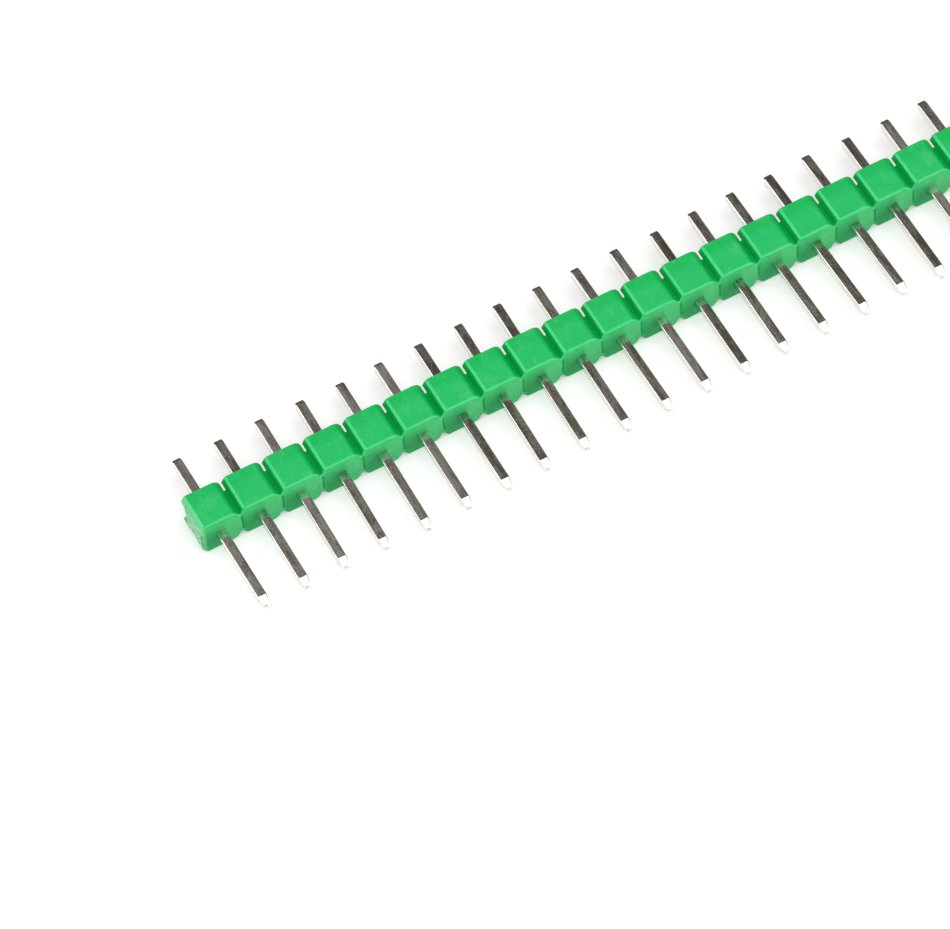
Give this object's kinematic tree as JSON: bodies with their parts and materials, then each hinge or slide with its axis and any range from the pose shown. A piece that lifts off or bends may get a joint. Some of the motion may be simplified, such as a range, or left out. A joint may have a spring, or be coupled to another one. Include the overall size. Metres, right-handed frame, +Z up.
{
  "type": "pin header strip",
  "caption": "Straight single-row breakaway pin header: a green moulded strip of grooved blocks with a square metal pin through each, lying on its side.",
  "frame": {"origin": "middle of the base of the strip's bounding box, as it lies on its side", "axes": "+X along the row, from the snapped end; +Y towards the short solder tails, so the long pins point to -Y; +Z up"},
  "size_m": [0.1016, 0.0112, 0.0025],
  "materials": {
    "housing_plastic": "satin moulded green polyester, slightly translucent, with a pale snapped face at the left end",
    "pin_metal": "drawn square brass wire with bright tin plating and fine draw lines"
  },
  "bodies": {
    "root": {"housing": "housing_plastic", "pin_01": "pin_metal", "pin_02": "pin_metal", "pin_03": "pin_metal", "pin_04": "pin_metal", "pin_05": "pin_metal", "pin_06": "pin_metal", "pin_07": "pin_metal", "pin_08": "pin_metal", "pin_09": "pin_metal", "pin_10": "pin_metal", "pin_11": "pin_metal", "pin_12": "pin_metal", "pin_13": "pin_metal", "pin_14": "pin_metal", "pin_15": "pin_metal", "pin_16": "pin_metal", "pin_17": "pin_metal", "pin_18": "pin_metal", "pin_19": "pin_metal", "pin_20": "pin_metal", "pin_21": "pin_metal", "pin_22": "pin_metal", "pin_23": "pin_metal", "pin_24": "pin_metal", "pin_25": "pin_metal", "pin_26": "pin_metal", "pin_27": "pin_metal", "pin_28": "pin_metal", "pin_29": "pin_metal", "pin_30": "pin_metal", "pin_31": "pin_metal", "pin_32": "pin_metal", "pin_33": "pin_metal", "pin_34": "pin_metal", "pin_35": "pin_metal", "pin_36": "pin_metal", "pin_37": "pin_metal", "pin_38": "pin_metal", "pin_39": "pin_metal", "pin_40": "pin_metal"}
  },
  "joints": []
}
